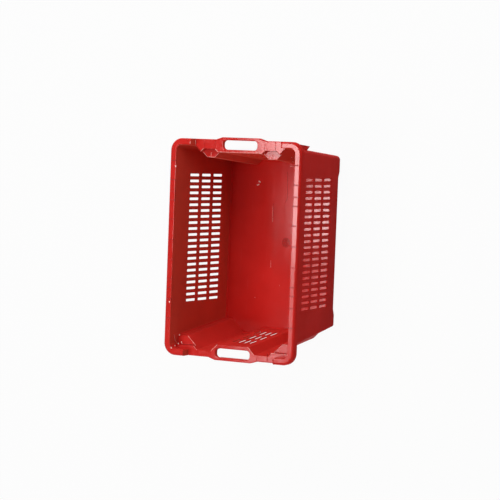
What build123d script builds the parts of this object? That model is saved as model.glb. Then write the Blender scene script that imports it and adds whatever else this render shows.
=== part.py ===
"""Harvest crate that stacks when turned by half a turn and nests when it is not.

The real crate is one moulding. Here it is cut into its working sections: panels, posts, columns,
ledges, rims, flanges, grips, ribs and webs. Neighbouring sections meet face to face.

Millimetres. X runs along the crate to end A, Y across it to the left side, Z up from the ground.
"""
import os
from math import floor, radians, tan

from build123d import *

os.makedirs("parts", exist_ok=True)

# Overall size, over the rim and down to the feet
rim_length = 600.0
rim_width = 400.0
height = 320.0
wall = 2.4

# Long walls: distance of the inner face inside the rim's outer line, and lean of the wall
side_inset = 19.0
side_draft = 2.4

# End A: middle panel, two grooves pushed into the crate, two corners pushed out. Widths of corners are
# measured from the rim's outer line, here and at end B.
a_mid_inset = 32.0
a_mid_draft = 3.9
a_out_inset = 17.0
a_out_draft = 3.2
a_groove_depth = 14.0
a_groove_width = 25.0
a_corner_width = 93.0

# End B: middle panel, two columns pushed out, two corners pushed in
b_mid_inset = 34.0
b_mid_draft = 5.7
b_out_inset = 13.9
b_out_draft = 5.9
b_in_inset = 47.0
b_in_draft = 6.9
b_mid_half = 47.0
b_corner_width = 54.0

# Bends of the walls, seen from above, on the inside of each bend
bend_radius = 5.0
a_corner_radius = 10.0
b_corner_radius = 4.0

# Floor and feet
foot_height = 8.0
foot_run_out = 18.0
floor_plate = 3.0
floor_bevel = 3.0
a_post_length = 95.0
b_post_length = 135.0
end_panel_half = 40.0
floor_rib_height = 5.0
floor_rib_width = 2.5
floor_rib_gap_x = 78.0
floor_rib_gap_y = 74.0
long_floor_ribs = 3
cross_floor_ribs = 5

# Slots in the walls
slot_width = 7.0
slot_height = 50.0
slot_radius = 2.0
slot_pitch = 16.73
tier_pitch = 63.7
tiers = 3
slot_margin = 5.0
slot_shift = 3.0
end_slot_columns = 4
end_slot_width = 8.2

# Raised rim over the long sides and the corners
rim_radius = 34.0
mouth_radius = 16.0
rim_plate = 4.0
rim_skirt = 3.0
rim_depth = 20.0
rim_edge_radius = 7.0
rim_inner_radius = 1.5
corner_rim_length = 75.0
rim_rib_width = 2.5
rim_rib_depth = 14.0
rim_rib_places = (56.0, 109.0, 133.0, 165.0, 218.0)
sink_line_width = 1.6
sink_line_depth = 0.8

# Lowered flange across each end, with the hand hole
flange_drop = 30.0
flange_plate = 4.0
flange_depth = 18.0
flange_corner = 62.0
flange_rib_width = 2.5
flange_rib_places = (76.0, 108.0)
grip_reach = 6.5
grip_half = 55.0
grip_run_out = 20.0
grip_bend = 8.0
hole_length = 105.0
hole_width = 25.6
hole_radius = 10.0
hole_inset = 27.0
hole_lip = 3.0
hole_lip_depth = 12.0
grip_edge_radius = 2.5

# Stacking ledges, below the flange
ledge_drop = 13.0
ledge_plate = 4.0
a_pocket_inset = 26.0
b_pocket_inset = 27.0

# Nesting webs under the corners of end A
web_thickness = 3.0
web_inset = 30.0
web_depth = 110.0
web_top_reach = 4.0
web_tip_reach = 9.7
web_rise = 21.0

# Levels and lines that follow from these
half_length = rim_length / 2
half_width = rim_width / 2
a_groove_far = half_width - a_corner_width
a_mid_half = a_groove_far - a_groove_width - a_groove_depth
b_corner_from = half_width - b_corner_width
flange_half = half_width - flange_corner
web_place = half_width - web_inset
rim_under = height - rim_plate
flange_top = height - flange_drop
flange_under = flange_top - flange_plate
ledge_top = flange_top - ledge_drop
ledge_under = ledge_top - ledge_plate
floor_top = foot_height + floor_plate
post_y = flange_half + wall
post_a_x = half_length - a_post_length
post_b_x = b_post_length - half_length
corner_x = half_length - corner_rim_length
opening_x = half_length - a_out_inset
a_pocket_x = half_length - a_pocket_inset
b_pocket_x = half_length - b_pocket_inset
hole_inner_x = half_length - hole_inset
hole_outer_x = hole_inner_x + hole_width
hole_middle_x = (hole_inner_x + hole_outer_x) / 2
hole_straight = hole_length / 2 - hole_radius
grip_x = half_length + grip_reach
post_mid_x = (post_a_x + post_b_x) / 2
slot_x = post_mid_x + slot_shift
slot_z = (floor_top + flange_top) / 2
rim_rib_x = [post_mid_x] + [post_mid_x + sign * place for place in rim_rib_places for sign in (-1, 1)]
beyond = 2 * rim_length


def face_at(half, inset, draft, z):
    """Distance of a leaning inner wall face from the middle of the crate, at height z."""
    return half - inset - (height - z) * tan(radians(draft))


def side_at(z):
    return face_at(half_width, side_inset, side_draft, z)


def a_mid_at(z):
    return face_at(half_length, a_mid_inset, a_mid_draft, z)


def a_out_at(z):
    return face_at(half_length, a_out_inset, a_out_draft, z)


def b_mid_at(z):
    return face_at(half_length, b_mid_inset, b_mid_draft, z)


def b_out_at(z):
    return face_at(half_length, b_out_inset, b_out_draft, z)


def b_in_at(z):
    return face_at(half_length, b_in_inset, b_in_draft, z)


def wall_outline(z, skin):
    """Corners of the wall faces at height z, each face moved outwards by skin. Flanks run at 45 degrees."""
    side = side_at(z)
    a_mid = a_mid_at(z)
    a_groove = a_mid - a_groove_depth
    a_out = a_out_at(z)
    b_mid = b_mid_at(z)
    b_out = b_out_at(z)
    b_in = b_in_at(z)
    mitre = skin * tan(radians(22.5))
    left = [
        (a_mid + skin, a_mid_half + mitre),
        (a_groove + skin, a_mid_half + a_groove_depth + mitre),
        (a_groove + skin, a_groove_far - mitre),
        (a_out + skin, a_groove_far + a_out - a_groove - mitre),
        (a_out + skin, side + skin),
        (-b_in - skin, side + skin),
        (-b_in - skin, b_corner_from + mitre),
        (-b_out - skin, b_corner_from - b_out + b_in + mitre),
        (-b_out - skin, b_mid_half + b_out - b_mid - mitre),
        (-b_mid - skin, b_mid_half - mitre),
    ]
    return left + [(x, -y) for x, y in reversed(left)]


def bend_radii(skin):
    """Radius at each corner of wall_outline: bends keep the wall's thickness."""
    hollow = bend_radius + wall - skin
    proud = bend_radius + skin
    corner_a = a_corner_radius + skin
    corner_b = b_corner_radius + skin
    left = [proud, hollow, hollow, proud, corner_a, corner_b, hollow, proud, proud, hollow]
    return left + left[::-1]


def tapered_body(outline, radii, bottom, top):
    """Solid with flat leaning sides between its outlines at two heights, and rounded upright edges."""
    low = [(x, y, bottom) for x, y in outline(bottom)]
    high = [(x, y, top) for x, y in outline(top)]
    rings = [low, high]
    for corner in range(len(low)):
        rings.append([low[corner - 1], low[corner], high[corner], high[corner - 1]])
    solid = Solid(Shell([Face(Wire.make_polygon(ring)) for ring in rings]))
    middle = (bottom + top) / 2
    corners = [Vector(x, y, middle) for x, y in outline(middle)]
    with BuildPart() as body:
        add(solid)
        for radius in sorted(set(radii)):
            bends = [corner for corner, own in zip(corners, radii) if own == radius]
            fillet([body.edges().sort_by_distance(bend)[0] for bend in bends], radius)
    return body.part


def wall_body(bottom, top, skin):
    """Solid between two heights, inside the wall faces moved outwards by skin."""
    return tapered_body(lambda z: wall_outline(z, skin), bend_radii(skin), bottom, top)


def cut_out(body, x=(-beyond, beyond), y=(-beyond, beyond), z=(-beyond, beyond)):
    """The piece of a body that lies between the given limits."""
    with BuildPart() as piece:
        add(body)
        with Locations(((x[0] + x[1]) / 2, (y[0] + y[1]) / 2, (z[0] + z[1]) / 2)):
            Box(x[1] - x[0], y[1] - y[0], z[1] - z[0], mode=Mode.INTERSECT)
    return piece.part


def prism(points, bottom, top):
    """Upright prism on a plan outline."""
    with BuildPart() as body:
        with BuildSketch(Plane.XY.offset(bottom)):
            with BuildLine():
                Polyline(*points, close=True)
            make_face()
        extrude(amount=top - bottom)
    return body.part


def save(part, name):
    part.label = name
    export_step(part, f"parts/{name}.step")


def mirrored(part):
    """The same section on the other long side."""
    with BuildPart() as other:
        mirror(part, about=Plane.XZ)
    return other.part


def save_pair(part, name):
    """Write a section of the left side, and its mirror image on the right."""
    save(part, f"{name}_left")
    save(mirrored(part), f"{name}_right")


# Walls as one ring, before it is cut into sections
inside = wall_body(-wall, height + wall, 0)
outside = wall_body(0, rim_under, wall)
with BuildPart() as wall_ring:
    add(outside)
    add(inside, mode=Mode.SUBTRACT)

slot_columns = 1 + floor((post_a_x - post_b_x - 2 * slot_margin - slot_width) / slot_pitch)

# Long wall with its field of slots
with BuildPart() as side_wall:
    add(cut_out(wall_ring.part, x=(post_b_x, post_a_x), y=(0, beyond), z=(foot_height, beyond)))
    with BuildSketch(Plane.XZ):
        with Locations((slot_x, slot_z)):
            with GridLocations(slot_pitch, tier_pitch, slot_columns, tiers):
                RectangleRounded(slot_width, slot_height, slot_radius)
    extrude(amount=-rim_width, mode=Mode.SUBTRACT)
save_pair(side_wall.part, "side_wall")


def end_panel(x_limits):
    """Middle panel of an end wall, with its slots."""
    with BuildPart() as panel:
        add(cut_out(wall_ring.part, x_limits, (-end_panel_half, end_panel_half), (foot_height, flange_under)))
        with BuildSketch(Plane.YZ):
            with Locations((0, slot_z)):
                with GridLocations(slot_pitch, tier_pitch, end_slot_columns, tiers):
                    RectangleRounded(end_slot_width, slot_height, slot_radius)
        extrude(amount=rim_length, both=True, mode=Mode.SUBTRACT)
    return panel.part


save(end_panel((0, beyond)), "end_panel_a")
save(end_panel((-beyond, 0)), "end_panel_b")

# Plan of the stacking pocket in the groove of end A, and of its wall
a_groove_ledge = a_mid_at(ledge_top) - a_groove_depth
a_mid_ledge = a_mid_at(ledge_top)
a_pocket_run = a_pocket_x - a_mid_ledge
a_pocket_plan = [
    (a_groove_ledge, a_mid_half + a_groove_depth),
    (a_mid_ledge, a_mid_half),
    (a_pocket_x, a_mid_half + a_pocket_run),
    (a_pocket_x, a_groove_far + a_groove_depth - a_pocket_run),
    (a_mid_ledge, a_groove_far + a_groove_depth),
    (a_groove_ledge, a_groove_far),
]
a_pocket = prism(a_pocket_plan, ledge_top, height)
with BuildPart() as a_pocket_case:
    with BuildSketch(Plane.XY.offset(ledge_under)):
        with BuildLine():
            Polyline(*a_pocket_plan, close=True)
        make_face()
        offset(amount=wall, kind=Kind.INTERSECTION)
    extrude(amount=flange_under - ledge_under)

# Plan of the stacking pocket in the corner of end B, from the groove back to a given line
b_in_ledge = b_in_at(ledge_top)


def b_pocket_plan(back):
    front = b_in_ledge - b_corner_radius
    return [
        (-front, half_width),
        (-front, b_corner_from),
        (-b_in_ledge, b_corner_from),
        (-back, b_corner_from + b_in_ledge - back),
        (-back, half_width),
    ]


b_pocket = prism(b_pocket_plan(b_pocket_x), ledge_top, height)
b_pocket_case = prism(b_pocket_plan(b_pocket_x + wall), ledge_under, flange_under)

# Grooved columns of end A and projecting columns of end B, which end in feet
with BuildPart() as groove_column:
    add(cut_out(wall_ring.part, (0, beyond), (end_panel_half, post_y), (foot_height, flange_under)))
    add(a_pocket_case.part, mode=Mode.SUBTRACT)
save_pair(groove_column.part, "groove_column_a")

with BuildPart() as foot_column:
    add(cut_out(wall_ring.part, (-beyond, 0), (end_panel_half, post_y), (0, flange_under)))
    add(b_pocket_case, mode=Mode.SUBTRACT)
save_pair(foot_column.part, "foot_column_b")


def corner_post(x_limits, top, edge_x, run_out):
    """Post of the left side whose foot rises to the edge of the long wall at edge_x, over run_out."""
    with BuildPart() as post:
        add(cut_out(wall_ring.part, x_limits, (post_y, beyond), (0, top)))
        with BuildSketch(Plane.XZ):
            with BuildLine():
                Polyline((edge_x, 0), (edge_x, foot_height), (edge_x + run_out, 0), close=True)
            make_face()
        extrude(amount=-rim_width, mode=Mode.SUBTRACT)
    return post.part


# Corner posts, down to the ground
save_pair(corner_post((post_a_x, beyond), rim_under, post_a_x, foot_run_out), "corner_post_a")
save_pair(corner_post((-beyond, post_b_x), ledge_under, post_b_x, -foot_run_out), "corner_post_b")


def hood_outline(z, skin):
    """Corners of the mouth's faces at height z, which carry the long walls on past the grooves of end B."""
    x = opening_x + skin
    y = side_at(z) + skin
    return [(x, y), (-x, y), (-x, -y), (x, -y)]


def hood_body(skin):
    """Solid inside the faces of the mouth, moved outwards by skin, from the ledges to the rim."""
    radii = [mouth_radius + skin] * 4
    return tapered_body(lambda z: hood_outline(z, skin), radii, ledge_under, rim_under)


# Upper corner of end B, round the stacking pocket
with BuildPart() as hood:
    add(hood_body(wall))
    add(hood_body(0), mode=Mode.SUBTRACT)
    with Locations((-b_pocket_x - wall, 0, flange_top)):
        Box(rim_length, rim_width, height, align=(Align.MAX, Align.CENTER, Align.MAX), mode=Mode.SUBTRACT)
save_pair(cut_out(hood.part, (-beyond, post_b_x), (post_y, beyond)), "corner_hood_b")

# Stacking ledges with their back walls
with BuildPart() as ledge_a:
    add(a_pocket_case.part)
    add(a_pocket, mode=Mode.SUBTRACT)
    add(inside, mode=Mode.SUBTRACT)
save_pair(ledge_a.part, "stacking_ledge_a")

with BuildPart() as ledge_b:
    add(b_pocket_case)
    with Locations((-b_pocket_x, post_y, flange_under)):
        Box(opening_x + wall - b_pocket_x, half_width - post_y, flange_plate,
            align=(Align.MAX, Align.MIN, Align.MIN))
    add(b_pocket, mode=Mode.SUBTRACT)
    add(inside, mode=Mode.SUBTRACT)
    add(hood_body(wall), mode=Mode.INTERSECT)
    add(hood.part, mode=Mode.SUBTRACT)
save_pair(ledge_b.part, "stacking_ledge_b")

# Raised rim as one frame, hollow underneath, with a fine sink line over each of its ribs
with BuildPart() as rim:
    with BuildSketch(Plane.XY.offset(height - rim_depth)):
        RectangleRounded(rim_length, rim_width, rim_radius)
    extrude(amount=rim_depth)
    fillet(rim.faces().sort_by(Axis.Z)[-1].edges(), rim_edge_radius)
    with BuildSketch(Plane.XY.offset(height - rim_depth)):
        RectangleRounded(rim_length - 2 * rim_skirt, rim_width - 2 * rim_skirt, rim_radius - rim_skirt)
    extrude(amount=rim_depth - rim_plate, mode=Mode.SUBTRACT)
    with BuildSketch(Plane.XY.offset(rim_under)):
        RectangleRounded(2 * opening_x, 2 * side_at(height), mouth_radius)
    extrude(amount=rim_plate, mode=Mode.SUBTRACT)
    fillet(rim.faces().sort_by(Axis.Z)[-1].inner_wires()[0].edges(), rim_inner_radius)
    with Locations(*[(x, 0, height) for x in rim_rib_x]):
        Box(sink_line_width, rim_width, sink_line_depth, align=(Align.CENTER, Align.CENTER, Align.MAX),
            mode=Mode.SUBTRACT)

save_pair(cut_out(rim.part, (-corner_x, corner_x), (0, beyond)), "side_rim")
save_pair(cut_out(rim.part, (corner_x, beyond), (flange_half, beyond)), "corner_rim_a")
save_pair(cut_out(rim.part, (-beyond, -corner_x), (flange_half, beyond)), "corner_rim_b")

# Ribs between the long wall and the skirt of its rim
with BuildPart() as rim_ribs:
    with Locations(*[(x, 0, rim_under) for x in rim_rib_x]):
        Box(rim_rib_width, half_width - rim_skirt, rim_rib_depth, align=(Align.CENTER, Align.MIN, Align.MAX))
    add(outside, mode=Mode.SUBTRACT)
save_pair(rim_ribs.part, "rim_ribs")

# Step walls between the raised corners and the lowered flanges
with BuildPart() as rim_step_a:
    with Locations((half_length, flange_half, flange_top)):
        Box(corner_rim_length, wall, rim_under - flange_top, align=(Align.MAX, Align.MIN, Align.MIN))
    add(inside, mode=Mode.SUBTRACT)
    add(rim.part, mode=Mode.SUBTRACT)
save_pair(rim_step_a.part, "rim_step_a")

with BuildPart() as rim_step_b:
    with Locations((-opening_x, flange_half, flange_top)):
        Box(half_length - opening_x, wall, rim_under - flange_top, align=(Align.MAX, Align.MIN, Align.MIN))
    add(rim.part, mode=Mode.SUBTRACT)
save_pair(rim_step_b.part, "rim_step_b")


def flange_slab(inset, direction, bottom, top):
    """Slab in the plan of an end flange, which bulges at the grip, its outer line moved in by inset."""
    flat = half_length - inset
    bulge = grip_x - inset
    right = [(corner_x, -post_y), (flat, -post_y), (flat, -grip_half - grip_run_out), (bulge, -grip_half)]
    outline = right + [(x, -y) for x, y in reversed(right)]
    radii = [0, 0, grip_bend, grip_bend, grip_bend, grip_bend, 0, 0]
    with BuildPart() as slab:
        with BuildSketch(Plane.XY.offset(bottom)):
            with BuildLine():
                FilletPolyline(*[(direction * x, y) for x, y in outline], radius=radii, close=True)
            make_face()
        extrude(amount=top - bottom)
    return slab.part


def flange_body(direction, pockets):
    """Flange of one end, hollow underneath, with its hand hole, the lip round it and fine sink lines."""
    hole_x = direction * hole_middle_x
    skirt_under = flange_top - flange_depth
    with BuildPart() as body:
        add(flange_slab(0, direction, skirt_under, flange_top))
        outer_edges = body.faces().sort_by(Axis.Z)[-1].edges().filter_by(
            lambda edge: abs(edge.center().X) > half_length - rim_skirt)
        fillet(outer_edges, grip_edge_radius)
        add(flange_slab(rim_skirt, direction, skirt_under, flange_under), mode=Mode.SUBTRACT)
        with BuildSketch(Plane.XY.offset(flange_top - hole_lip_depth)):
            with Locations((hole_x, 0)):
                RectangleRounded(hole_width + 2 * hole_lip, hole_length + 2 * hole_lip, hole_radius + hole_lip)
        extrude(amount=hole_lip_depth - flange_plate)
        with Locations((direction * hole_outer_x, 0, skirt_under)):
            Box(grip_x - hole_outer_x, 2 * hole_straight, flange_under - skirt_under,
                align=(Align.MIN if direction > 0 else Align.MAX, Align.CENTER, Align.MIN))
        add(cut_out(outside, z=(0, flange_under)), mode=Mode.SUBTRACT)
        add(inside, mode=Mode.SUBTRACT)
        for pocket in pockets:
            add(pocket, mode=Mode.SUBTRACT)
        with BuildSketch(Plane.XY.offset(skirt_under)):
            with Locations((hole_x, 0)):
                RectangleRounded(hole_width, hole_length, hole_radius)
        extrude(amount=flange_depth, mode=Mode.SUBTRACT)
        fillet(body.faces().sort_by(Axis.Z)[-1].inner_wires()[0].edges(), grip_edge_radius)
        with Locations(*[(0, sign * place, flange_top) for place in flange_rib_places for sign in (-1, 1)]):
            Box(beyond, sink_line_width, sink_line_depth, align=(Align.CENTER, Align.CENTER, Align.MAX),
                mode=Mode.SUBTRACT)
    return body.part


flange_a = flange_body(1, [a_pocket, mirrored(a_pocket)])
flange_b = flange_body(-1, [b_pocket, mirrored(b_pocket)])
middle = (-hole_straight, hole_straight)
save_pair(cut_out(flange_a, y=(hole_straight, beyond)), "end_flange_a")
save(cut_out(flange_a, (0, hole_middle_x), middle), "handle_bar_a")
save(cut_out(flange_a, (hole_middle_x, beyond), middle), "handle_grip_a")
save_pair(cut_out(flange_b, y=(hole_straight, beyond)), "end_flange_b")
save(cut_out(flange_b, (-hole_middle_x, 0), middle), "handle_bar_b")
save(cut_out(flange_b, (-beyond, -hole_middle_x), middle), "handle_grip_b")


def flange_ribs(direction, case):
    """Ribs under the flange of one end, left side, between the wall and the skirt."""
    with BuildPart() as ribs:
        for place in flange_rib_places:
            with Locations((direction * (half_length - rim_skirt), place, flange_under)):
                Box(corner_rim_length, flange_rib_width, flange_depth - flange_plate,
                    align=(Align.MAX if direction > 0 else Align.MIN, Align.CENTER, Align.MAX))
        add(outside, mode=Mode.SUBTRACT)
        add(case, mode=Mode.SUBTRACT)
    return ribs.part


save_pair(flange_ribs(1, a_pocket_case.part), "flange_ribs_a")
save_pair(flange_ribs(-1, b_pocket_case), "flange_ribs_b")

# Webs that hold a nested crate at its height
with BuildPart() as nesting_web:
    with BuildSketch(Plane.XZ.offset(-web_place)):
        with BuildLine():
            Polyline(
                (corner_x, rim_under),
                (half_length - web_top_reach, rim_under),
                (half_length - web_top_reach, height - rim_depth),
                (half_length - web_tip_reach, height - web_depth),
                (a_out_at(height - web_depth), height - web_depth + web_rise),
                (corner_x, height - web_depth + web_rise),
                close=True,
            )
        make_face()
    extrude(amount=-web_thickness)
    add(outside, mode=Mode.SUBTRACT)
save_pair(nesting_web.part, "nesting_web_a")

# Floor, bevelled up to the walls, and the ribs under it
with BuildPart() as load_space:
    add(cut_out(inside, z=(floor_top, height)))
    chamfer(load_space.faces().sort_by(Axis.Z)[0].edges(), floor_bevel)

with BuildPart() as base_panel:
    add(cut_out(inside, z=(foot_height, floor_top + floor_bevel)))
    add(load_space.part, mode=Mode.SUBTRACT)
save(base_panel.part, "base_panel")

with BuildPart() as base_ribs_long:
    with Locations((0, 0, foot_height)):
        with GridLocations(rim_length, floor_rib_gap_y, 1, long_floor_ribs):
            Box(rim_length, floor_rib_width, floor_rib_height, align=(Align.CENTER, Align.CENTER, Align.MAX))
    add(inside, mode=Mode.INTERSECT)
save(base_ribs_long.part, "base_ribs_long")

with BuildPart() as base_ribs_cross:
    with Locations((post_mid_x, 0, foot_height)):
        with GridLocations(floor_rib_gap_x, rim_width, cross_floor_ribs, 1):
            Box(floor_rib_width, rim_width, floor_rib_height, align=(Align.CENTER, Align.CENTER, Align.MAX))
    add(inside, mode=Mode.INTERSECT)
    add(base_ribs_long.part, mode=Mode.SUBTRACT)
save(base_ribs_cross.part, "base_ribs_cross")
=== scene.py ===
"""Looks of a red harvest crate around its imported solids: plastic, marks, studio floor, light and camera.

Metres. X runs along the crate to end A, Y across it to the left side, Z up from the ground.
"""
from math import cos, pi, radians, sin

import bpy
from mathutils import Matrix, Vector


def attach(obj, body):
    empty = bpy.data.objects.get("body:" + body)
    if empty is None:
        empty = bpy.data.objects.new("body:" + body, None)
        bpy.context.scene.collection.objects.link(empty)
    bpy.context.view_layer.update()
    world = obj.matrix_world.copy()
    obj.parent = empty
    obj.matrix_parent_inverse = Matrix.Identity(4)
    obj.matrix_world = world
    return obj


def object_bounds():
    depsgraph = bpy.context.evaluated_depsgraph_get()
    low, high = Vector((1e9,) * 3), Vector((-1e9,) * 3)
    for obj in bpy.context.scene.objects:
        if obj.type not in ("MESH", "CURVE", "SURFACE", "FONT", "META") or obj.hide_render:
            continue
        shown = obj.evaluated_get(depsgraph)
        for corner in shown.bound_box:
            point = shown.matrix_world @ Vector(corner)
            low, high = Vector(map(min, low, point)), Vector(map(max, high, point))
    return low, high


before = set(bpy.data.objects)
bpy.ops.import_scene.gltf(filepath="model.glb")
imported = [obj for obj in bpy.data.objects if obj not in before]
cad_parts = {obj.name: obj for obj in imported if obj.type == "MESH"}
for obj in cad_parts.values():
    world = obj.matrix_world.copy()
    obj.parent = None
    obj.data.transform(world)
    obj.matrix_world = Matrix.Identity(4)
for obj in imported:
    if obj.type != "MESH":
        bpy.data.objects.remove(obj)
cad_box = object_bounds()
scene = bpy.context.scene
scene.view_settings.view_transform = "Standard"

# Camera of the photograph: place, and its right, down and forward directions
CAMERA_PLACE = (0.27361, -2.3093, 4.77521)
CAMERA_RIGHT = Vector((0.037638, -0.890961, -0.452517))
CAMERA_DOWN = Vector((-0.997842, -0.057892, 0.030988))
CAMERA_FORWARD = Vector((-0.053807, 0.450374, -0.891217))
CAMERA_LENS = 133.2
SENSOR = 36.0

# Softboxes that shade the crate, all square and turned to its middle: place and power
SOFTBOXES = {
    "softbox_top": ((2.6, 0.6, 2.0), 53.0),
    "softbox_left": ((-0.8, 1.0, 3.2), 52.0),
    "softbox_right": ((1.8, -1.2, 2.6), 26.0),
    "softbox_end": ((-2.6, 0.2, 1.4), 18.0),
}
SOFTBOX_SIZE = 1.5
CRATE_MIDDLE = (0.0, 0.0, 0.16)

# Panels over the crate, facing down, which only the gloss shows: place in plan, size, turn in degrees
# and power. The first three make one large panel with a notch, so that the floor shows less gloss by end A
PANELS = {
    "panel": ((0.620, 0.495), (1.56, 1.39), 0.0, 64.5),
    "panel_far_b": ((-0.015, 1.260), (0.29, 0.14), 0.0, 1.21),
    "panel_far_a": ((0.818, 1.260), (1.165, 0.14), 0.0, 4.85),
    "panel_fade": ((-0.030, 1.394), (0.32, 0.16), 18.0, 0.076),
    "panel_strip": ((-0.360, 1.125), (0.40, 0.29), 0.0, 1.20),
    "panel_tip": ((-0.630, 1.245), (0.22, 0.15), 0.0, 0.72),
}
PANEL_HEIGHT = 3.0

# World: strength at the horizon, overhead and overhead in the gloss, and where it falls from the horizon's
WORLD_HORIZON = 1.0
WORLD_OVERHEAD = 0.18
WORLD_IN_GLOSS = 0.04
WORLD_RISE = (0.02, 0.25)

# Studio floor: size, share of plain white where it is seen, and colour where light falls on it
STUDIO_SIZE = 40.0
STUDIO_WHITE = 0.95
STUDIO_GREY = (0.5, 0.5, 0.5, 1)
WHITE = (1, 1, 1, 1)

# Colours of the plastic
RED = (0.61, 0.020, 0.016, 1)
RED_DEEP = (0.55, 0.017, 0.013, 1)
RED_POLISHED = (0.535, 0.018, 0.0145, 1)
RED_POLISHED_DEEP = (0.480, 0.015, 0.0115, 1)
# Paler, less red tones of the inward faces: dust, and painted fill light in the shaded inside. The second,
# weaker pair is for faces that look to end A
RED_DUST_AND_PAINTED_FILL = (0.62, 0.062, 0.038, 1)
RED_DUST_AND_PAINTED_FILL_DEEP = (0.57, 0.056, 0.034, 1)
RED_HAZE_AND_PAINTED_FILL = (0.61, 0.030, 0.023, 1)
RED_HAZE_AND_PAINTED_FILL_DEEP = (0.55, 0.027, 0.020, 1)
RED_WORN = (0.72, 0.10, 0.09, 1)
RED_PALE_WEAR_AND_HIGHLIGHT = (0.88, 0.52, 0.47, 1)
RED_PALEST_GLINT = (0.97, 0.82, 0.78, 1)
# Dark tone of the marks and of painted shade lines
RED_DARK_MARK_AND_SHADE = (0.22, 0.010, 0.008, 1)

# Finishes of the plastic: roughness of smooth and rough patches, gloss, height of waves, fineness of grain
POLISHED_FINISH = {"smooth": 0.08, "rough": 0.14, "gloss": 0.5, "wave": 0.0001, "grain": 900.0}
SATIN_FINISH = {"smooth": 0.055, "rough": 0.085, "gloss": 0.60, "wave": 0.0001, "grain": 700.0}
DULL_FINISH = {"smooth": 0.32, "rough": 0.42, "gloss": 0.005, "wave": 0.0004, "grain": 900.0}

# Patterns in the plastic, as noise, and the span of the noise over which each sets in
CLOUDS = {"scale": 11.0, "detail": 4.0}
CLOUD_SPAN = (0.35, 0.65)
SCUFFS = {"stretch": (14.0, 160.0, 160.0), "detail": 4.0, "roughness": 0.6}
SCUFF_SPAN = (0.62, 0.78)
SCUFF_SHARE = 0.18
PATCHES = {"stretch": (45.0, 95.0, 95.0), "detail": 5.0, "roughness": 0.6}
PATCH_SPAN = (0.42, 0.68)
WAVES = {"stretch": (9.0, 34.0, 34.0), "detail": 3.0}
GRAIN_DETAIL = 2.0
GRAIN_HEIGHT = 0.00004

# Plastic of the drawn marks, which also paints highlights, glints and shade: noise between its two tones,
# and its finish
MARK_TONES = {"scale": 260.0, "detail": 3.0}
MARK_SPAN = (0.35, 0.65)
MARK_ROUGHNESS = 0.4
MARK_GLOSS = 0.2

# Faces count as tops where they look up this much. Inward faces that look to end A this much get the
# weaker painted fill light
UPWARD = 0.7
TO_END_A = 0.3
POLISHED_NODES = ("side_rim", "corner_rim", "end_flange", "handle", "stacking_ledge")

# Levels of the crate's tops and of its floor
RIM_LEVEL = cad_box[1][2]
FLANGE_LEVEL = RIM_LEVEL - 0.030
LEDGE_LEVEL = FLANGE_LEVEL - 0.013
FLOOR_LEVEL = 0.0110
BOTH = (1, -1)

# Worn edges of both sides, drawn pale, which paints edge highlights as well as wear, left side given:
# lines on a level
EDGE_HIGHLIGHT_LINES = [
    (FLANGE_LEVEL, [(0.2660, 0.0000), (0.2660, 0.0671), (0.2740, 0.0765)]),
    (FLANGE_LEVEL, [(0.2740, 0.1122), (0.2658, 0.1205)]),
    (FLANGE_LEVEL, [(0.2820, 0.1378), (0.2965, 0.1378)]),
    (FLANGE_LEVEL, [(-0.2735, 0.1205), (-0.2830, 0.1110)]),
    (FLANGE_LEVEL, [(-0.2830, 0.0670), (-0.2630, 0.0470)]),
    (LEDGE_LEVEL, [(0.2650, 0.0685), (0.2511, 0.0825), (0.2511, 0.1065), (0.2650, 0.1205)]),
    (LEDGE_LEVEL, [(0.2525, 0.0945), (0.2640, 0.0945)]),
    (LEDGE_LEVEL, [(-0.2478, 0.1465), (-0.2725, 0.1213)]),
]
EDGE_RADIUS = 0.0007

# Dark cross lines over the ribs of the long rims, painted shade in the grooves there, in pairs: places
# along the rim on both sides of a middle, and their course from the mouth over the rim's rounding, as
# distance across and depth under the rim's level
RIM_LINE_MIDDLE = 0.0200
RIM_LINE_PLACES = (0.0, 0.056, 0.109, 0.133, 0.165, 0.218)
RIM_LINE_PAIR = (-0.0006, 0.0006)
RIM_LINE = [(0.1802, 0.0014), (0.1925, 0.0014), (0.1958, 0.0024), (0.1980, 0.0047)]
RIM_LINE_RADIUS = 0.0018

# Dark lines on the right side of both ends, painted shade: along the edge of the raised corner, and in a
# groove in the flange.
# Their courses are given as distance along the crate and depth under the rim's or the flange's level
CORNER_STEP_SHADE = [(0.2842, 0.0009), (0.2930, 0.0009), (0.2966, 0.0021), (0.2988, 0.0044)]
CORNER_STEP_SHADE_PLACES = (-0.1398, -0.1412)
FLANGE_GROOVE_SHADE = [(0.2752, 0.0013), (0.2968, 0.0013)]
FLANGE_GROOVE_SHADE_PLACE = -0.1080
STEP_SHADE_RADIUS = 0.0016

# Painted shadows of the flanges on the ledges of both ends, as dark lines along the pockets in the flange
# above, left side given
SHADOW_GAP_LINES = [
    [(0.2662, 0.0700), (0.2732, 0.0772), (0.2732, 0.1118), (0.2662, 0.1190)],
    [(-0.2722, 0.1240), (-0.2722, 0.1640)],
]
SHADOW_GAP_RADIUS = 0.0014

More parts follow.
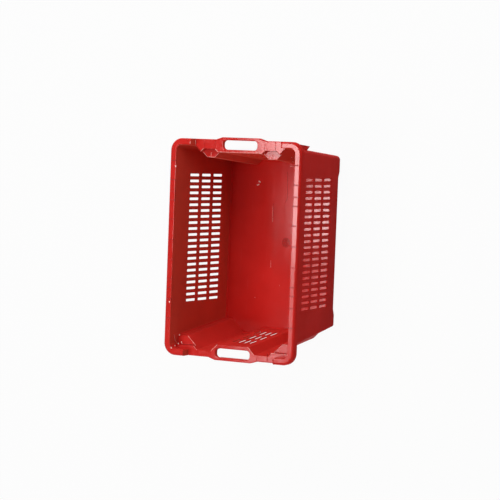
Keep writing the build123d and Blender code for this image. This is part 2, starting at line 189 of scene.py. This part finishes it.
# Scratches, from place to place, drawn pale, which paints highlights on edges as well as wear, and the
# places of chips, pale specks that paint glints as well as chips, which run along the crate
SCRATCHES_AND_HIGHLIGHTS = [
    [(-0.2451, 0.1797, 0.2974), (-0.2624, 0.1794, 0.2909), (-0.2727, 0.1774, 0.2775)],
    [(-0.2681, 0.1682, LEDGE_LEVEL), (-0.2711, 0.1611, LEDGE_LEVEL)],
    [(0.2845, 0.1382, RIM_LEVEL), (0.2925, 0.1382, RIM_LEVEL)],
    [(0.2318, -0.0200, FLOOR_LEVEL), (0.2321, -0.0310, FLOOR_LEVEL)],
    [(0.2471, -0.1092, 0.1863), (0.2473, -0.1103, 0.1727)],
    [(0.1164, 0.0307, FLOOR_LEVEL), (0.0705, 0.0294, FLOOR_LEVEL)],
    [(-0.0400, 0.0304, FLOOR_LEVEL), (-0.0599, 0.0296, FLOOR_LEVEL)],
    [(-0.1085, -0.0004, FLOOR_LEVEL), (-0.1117, -0.0004, FLOOR_LEVEL)],
    [(-0.1482, 0.0767, FLOOR_LEVEL), (-0.1512, 0.0767, FLOOR_LEVEL)],
    [(-0.2735, -0.1180, FLANGE_LEVEL), (-0.2735, -0.1720, FLANGE_LEVEL)],
    [(-0.2482, -0.1465, LEDGE_LEVEL), (-0.2482, -0.1730, LEDGE_LEVEL)],
]
CHIP_GLINTS = [
    (-0.2730, 0.1700, 0.2877),
    (-0.2777, 0.1757, 0.2969),
    (-0.2820, 0.1744, RIM_LEVEL),
    (-0.2693, 0.1666, LEDGE_LEVEL),
    (-0.2489, 0.1738, LEDGE_LEVEL),
    (-0.1550, 0.1853, RIM_LEVEL),
    (0.2199, 0.1812, 0.3190),
    (0.2578, -0.1183, 0.2095),
]
SCRATCH_RADIUS = 0.0006
CHIP_RADIUS = 0.0015
CHIP_LENGTH = 0.0042

# Marks on the crate's floor: pale strokes on the moulding gate, which paint its glints, dark lines, and a
# stamp of rings
GATE_GLINT_STROKES = [[(0.1862, 0.0780), (0.1824, 0.0723)], [(0.1745, 0.0830), (0.1765, 0.0760)]]
GATE_RADIUS = 0.0016
FLOOR_LINES = [
    [(0.1251, 0.0282), (0.0764, 0.0261)],
    [(0.2156, -0.0116), (0.1435, -0.0160), (0.1277, -0.0090)],
]
STAMP_PLACE = (0.0135, -0.0162)
STAMP_RINGS = (0.0125, 0.0105, 0.0085, 0.0065, 0.0045, 0.0025)
RING_POINTS = 28
RING_RADIUS = 0.0006

# Sockets of a colour mix, which go by number because their names repeat
MIX_SHARE = 0
MIX_ONE = 6
MIX_OTHER = 7
MIX_RESULT = 2


class Tree:
    """Builds a shader tree node by node."""

    def __init__(self, tree):
        self.tree = tree
        tree.nodes.clear()

    def add(self, kind, values=None, **settings):
        """Node with settings and with values or links at its inputs."""
        node = self.tree.nodes.new(kind)
        for name, value in settings.items():
            setattr(node, name, value)
        for name, value in (values or {}).items():
            socket = node.inputs[name]
            if isinstance(value, bpy.types.NodeSocket):
                self.tree.links.new(value, socket)
            else:
                socket.default_value = value
        return node

    def math(self, operation, *operands):
        return self.add("ShaderNodeMath", dict(enumerate(operands)), operation=operation).outputs[0]

    def ramp(self, value, low, high, to_low=0.0, to_high=1.0):
        """Straight ramp, clamped at both ends."""
        values = {"Value": value, "From Min": low, "From Max": high, "To Min": to_low, "To Max": to_high}
        return self.add("ShaderNodeMapRange", values).outputs["Result"]

    def noise(self, place, scale=1.0, detail=3.0, roughness=0.5, stretch=None):
        """Noise over a place, with its axes stretched first where that is asked for."""
        if stretch:
            place = self.add("ShaderNodeMapping", {"Vector": place, "Scale": stretch}).outputs["Vector"]
        values = {"Vector": place, "Scale": scale, "Detail": detail, "Roughness": roughness}
        return self.add("ShaderNodeTexNoise", values).outputs["Fac"]

    def mix(self, share, one, other):
        """Colour between two colours."""
        values = {MIX_SHARE: share, MIX_ONE: one, MIX_OTHER: other}
        return self.add("ShaderNodeMix", values, data_type="RGBA").outputs[MIX_RESULT]

    def bump(self, height, distance, normal=None):
        """Normal of a bumpy surface, over another bump where there is one."""
        values = {"Height": height, "Distance": distance, "Strength": 1.0}
        if normal:
            values["Normal"] = normal
        return self.add("ShaderNodeBump", values).outputs["Normal"]


def material(name):
    """New material and the builder of its tree."""
    made = bpy.data.materials.new(name)
    made.use_nodes = True
    return made, Tree(made.node_tree)


def plastic(name, deep, light, smooth, rough, gloss, wave, grain):
    """Moulded red plastic: clouded tone, scuffs, smooth and rough patches, slow waves and fine grain."""
    made, tree = material(name)
    place = tree.add("ShaderNodeTexCoord").outputs["Object"]
    cloud = tree.ramp(tree.noise(place, **CLOUDS), *CLOUD_SPAN)
    scuff = tree.ramp(tree.noise(place, **SCUFFS), *SCUFF_SPAN, 0.0, SCUFF_SHARE)
    patch = tree.ramp(tree.noise(place, **PATCHES), *PATCH_SPAN, smooth, rough)
    waved = tree.bump(tree.noise(place, **WAVES), wave)
    grained = tree.bump(tree.noise(place, grain, GRAIN_DETAIL), GRAIN_HEIGHT, waved)
    shader = tree.add("ShaderNodeBsdfPrincipled", {
        "Base Color": tree.mix(scuff, tree.mix(cloud, deep, light), RED_WORN),
        "Roughness": patch,
        "Normal": grained,
        "Specular IOR Level": gloss,
    })
    tree.add("ShaderNodeOutputMaterial", {"Surface": shader.outputs[0]})
    return made


def two_tone_mark(name, deep, pale):
    """Plastic between two tones for drawn marks: pale rubbed and chipped plastic, which also paints
    highlights and glints, and dark marks, which also paint shade.
    """
    made, tree = material(name)
    place = tree.add("ShaderNodeTexCoord").outputs["Object"]
    tone = tree.ramp(tree.noise(place, **MARK_TONES), *MARK_SPAN)
    shader = tree.add("ShaderNodeBsdfPrincipled", {
        "Base Color": tree.mix(tone, deep, pale),
        "Roughness": MARK_ROUGHNESS,
        "Specular IOR Level": MARK_GLOSS,
    })
    tree.add("ShaderNodeOutputMaterial", {"Surface": shader.outputs[0]})
    return made


POLISHED = plastic("red_plastic_polished", RED_POLISHED_DEEP, RED_POLISHED, **POLISHED_FINISH)
SATIN = plastic("red_plastic_satin", RED_DEEP, RED, **SATIN_FINISH)
MATTE = plastic("red_plastic_matte", RED_DEEP, RED, **DULL_FINISH)
# Inward faces: dust, and painted fill light in the shade
DUST_AND_PAINTED_FILL = plastic("red_plastic_dust_and_painted_fill", RED_DUST_AND_PAINTED_FILL_DEEP, RED_DUST_AND_PAINTED_FILL, **DULL_FINISH)
HAZE_AND_PAINTED_FILL = plastic("red_plastic_haze_and_painted_fill", RED_HAZE_AND_PAINTED_FILL_DEEP, RED_HAZE_AND_PAINTED_FILL, **DULL_FINISH)
# Pale rubbed plastic: wear, and painted highlights on edges
RUBBED_AND_HIGHLIGHTED = two_tone_mark("red_plastic_rubbed_and_highlighted", RED_WORN, RED_PALE_WEAR_AND_HIGHLIGHT)
# Palest plastic: chips, and painted glints
CHIPPED_AND_GLINTING = two_tone_mark("red_plastic_chipped_and_glinting", RED_PALE_WEAR_AND_HIGHLIGHT, RED_PALEST_GLINT)
# Dark plastic: marks, and painted shade and shadow lines
DARK_MARKS_AND_SHADE = two_tone_mark("red_plastic_dark_marks_and_shade", RED_DARK_MARK_AND_SHADE, RED_DEEP)

# Faces that look up are polished on the rim, flanges and ledges, satin on the floor, and matte elsewhere.
# Faces that look inward, in the shaded inside, get a paler tone that paints white fill light there as well
# as dust. This tone is weaker where they look to end A, and the rest are matte
TOP_SLOT, DUST_AND_FILL_SLOT, HAZE_AND_FILL_SLOT, MATTE_SLOT = range(4)
for name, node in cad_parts.items():
    top = POLISHED if name.startswith(POLISHED_NODES) else MATTE
    if name == "base_panel":
        top = SATIN
    node.data.materials.clear()
    for finish in (top, DUST_AND_PAINTED_FILL, HAZE_AND_PAINTED_FILL, MATTE):
        node.data.materials.append(finish)
    for face in node.data.polygons:
        if face.normal.z > UPWARD:
            face.material_index = TOP_SLOT
        elif face.normal.xy.dot(face.center.xy) < 0:
            face.material_index = DUST_AND_FILL_SLOT if face.normal.x < TO_END_A else HAZE_AND_FILL_SLOT
        else:
            face.material_index = MATTE_SLOT


def drawn(name, lines, radius, finish, closed=False):
    """Fine raised lines on the plastic, as one piece."""
    curve = bpy.data.curves.new(name, "CURVE")
    curve.dimensions = "3D"
    curve.bevel_depth = radius
    curve.bevel_resolution = 1
    curve.use_fill_caps = True
    for points in lines:
        spline = curve.splines.new("POLY")
        spline.points.add(len(points) - 1)
        spline.use_cyclic_u = closed
        for point, place in zip(spline.points, points):
            point.co = (*place, 1)
    curve.materials.append(finish)
    piece = bpy.data.objects.new(name, curve)
    scene.collection.objects.link(piece)
    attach(piece, "root")


def on_floor(lines):
    """Lines given in plan, on the crate's floor."""
    return [[(x, y, FLOOR_LEVEL) for x, y in line] for line in lines]


def rings(place, radii):
    """Circles in plan round a place."""
    turns = [2 * pi * step / RING_POINTS for step in range(RING_POINTS)]
    x, y = place
    return [[(x + radius * cos(turn), y + radius * sin(turn)) for turn in turns] for radius in radii]


# Pale lines along edges: painted edge highlights, and wear
edges = [[(x, side * y, level) for x, y in line] for level, line in EDGE_HIGHLIGHT_LINES for side in BOTH]
drawn("worn_edges_and_highlights", edges, EDGE_RADIUS, RUBBED_AND_HIGHLIGHTED)

# Dark lines across the rims: painted shade in the grooves over the ribs
rib_x = sorted({RIM_LINE_MIDDLE + sign * place for place in RIM_LINE_PLACES for sign in BOTH})
line_x = [x + shift for x in rib_x for shift in RIM_LINE_PAIR]
rim_shade_lines = [[(x, side * y, RIM_LEVEL - depth) for y, depth in RIM_LINE] for x in line_x for side in BOTH]
drawn("rim_shade_lines", rim_shade_lines, RIM_LINE_RADIUS, DARK_MARKS_AND_SHADE)

# Dark lines on the ledges: painted shadow of the flange
shadow_gaps = [[(x, side * y, LEDGE_LEVEL) for x, y in line] for line in SHADOW_GAP_LINES for side in BOTH]
drawn("ledge_shadow_gaps", shadow_gaps, SHADOW_GAP_RADIUS, DARK_MARKS_AND_SHADE)

# Dark lines at the raised corners and flange grooves: painted shade
step_shades = []
for end in BOTH:
    for y in CORNER_STEP_SHADE_PLACES:
        step_shades.append([(end * x, y, RIM_LEVEL - depth) for x, depth in CORNER_STEP_SHADE])
    step_shades.append([(end * x, FLANGE_GROOVE_SHADE_PLACE, FLANGE_LEVEL - depth) for x, depth in FLANGE_GROOVE_SHADE])
drawn("step_shades", step_shades, STEP_SHADE_RADIUS, DARK_MARKS_AND_SHADE)

# Pale scratches and chips: wear, and painted highlights and glints
drawn("scratches_and_highlights", SCRATCHES_AND_HIGHLIGHTS, SCRATCH_RADIUS, RUBBED_AND_HIGHLIGHTED)
drawn("chip_glints", [[(x, y, z), (x + CHIP_LENGTH, y, z)] for x, y, z in CHIP_GLINTS], CHIP_RADIUS, CHIPPED_AND_GLINTING)
# Pale strokes on the gate mark: painted glints
drawn("gate_mark_glints", on_floor(GATE_GLINT_STROKES), GATE_RADIUS, CHIPPED_AND_GLINTING)
drawn("floor_lines", on_floor(FLOOR_LINES), SCRATCH_RADIUS, DARK_MARKS_AND_SHADE)
drawn("stamp_mark", on_floor(rings(STAMP_PLACE, STAMP_RINGS)), RING_RADIUS, DARK_MARKS_AND_SHADE, closed=True)

# Studio floor, white where it is seen, and grey where light falls on it
studio_paint, paint = material("floor_paint")
path = paint.add("ShaderNodeLightPath").outputs
seen = paint.math("MAXIMUM", path["Is Camera Ray"], path["Is Glossy Ray"])
seen = paint.math("MAXIMUM", seen, path["Is Transmission Ray"])
share = paint.math("MULTIPLY", seen, STUDIO_WHITE)
grey = paint.add("ShaderNodeBsdfDiffuse", {"Color": STUDIO_GREY}).outputs[0]
white = paint.add("ShaderNodeEmission", {"Color": WHITE, "Strength": 1.0}).outputs[0]
paint.add("ShaderNodeOutputMaterial", {
    "Surface": paint.add("ShaderNodeMixShader", {0: share, 1: grey, 2: white}).outputs[0],
})
bpy.ops.mesh.primitive_plane_add(size=STUDIO_SIZE)
floor = bpy.context.object
floor.name = "floor"
floor.data.materials.append(studio_paint)

# World: bright along the horizon, dim overhead, and dimmer still in the gloss
scene.world = bpy.data.worlds.new("studio")
scene.world.use_nodes = True
sky = Tree(scene.world.node_tree)
direction = sky.add("ShaderNodeTexCoord").outputs["Generated"]
rise = sky.add("ShaderNodeSeparateXYZ", {0: direction}).outputs["Z"]
in_gloss = sky.add("ShaderNodeLightPath").outputs["Is Glossy Ray"]
overhead = sky.ramp(in_gloss, 0.0, 1.0, WORLD_OVERHEAD, WORLD_IN_GLOSS)
glow = sky.ramp(rise, *WORLD_RISE, WORLD_HORIZON, overhead)
sky.add("ShaderNodeOutputWorld", {
    "Surface": sky.add("ShaderNodeBackground", {"Color": WHITE, "Strength": glow}).outputs[0],
})


def area_light(name, place, size, power):
    """Rectangular lamp at a place, facing down."""
    lamp = bpy.data.lights.new(name, "AREA")
    lamp.shape = "RECTANGLE"
    lamp.size, lamp.size_y = size
    lamp.energy = power
    light = bpy.data.objects.new(name, lamp)
    light.location = place
    scene.collection.objects.link(light)
    return light


for name, (place, power) in SOFTBOXES.items():
    softbox = area_light(name, place, (SOFTBOX_SIZE, SOFTBOX_SIZE), power)
    softbox.rotation_euler = (Vector(CRATE_MIDDLE) - Vector(place)).to_track_quat("-Z", "Y").to_euler()
    softbox.visible_glossy = False

for name, (place, size, turned, power) in PANELS.items():
    panel = area_light(name, (*place, PANEL_HEIGHT), size, power)
    panel.rotation_euler.z = radians(turned)
    panel.visible_diffuse = False

# Camera
lens = bpy.data.cameras.new("camera")
lens.sensor_width = SENSOR
lens.lens = CAMERA_LENS
camera = bpy.data.objects.new("camera", lens)
turn = Matrix((CAMERA_RIGHT, -CAMERA_DOWN, -CAMERA_FORWARD)).transposed()
camera.matrix_world = Matrix.Translation(CAMERA_PLACE) @ turn.to_4x4()
scene.collection.objects.link(camera)
scene.camera = camera
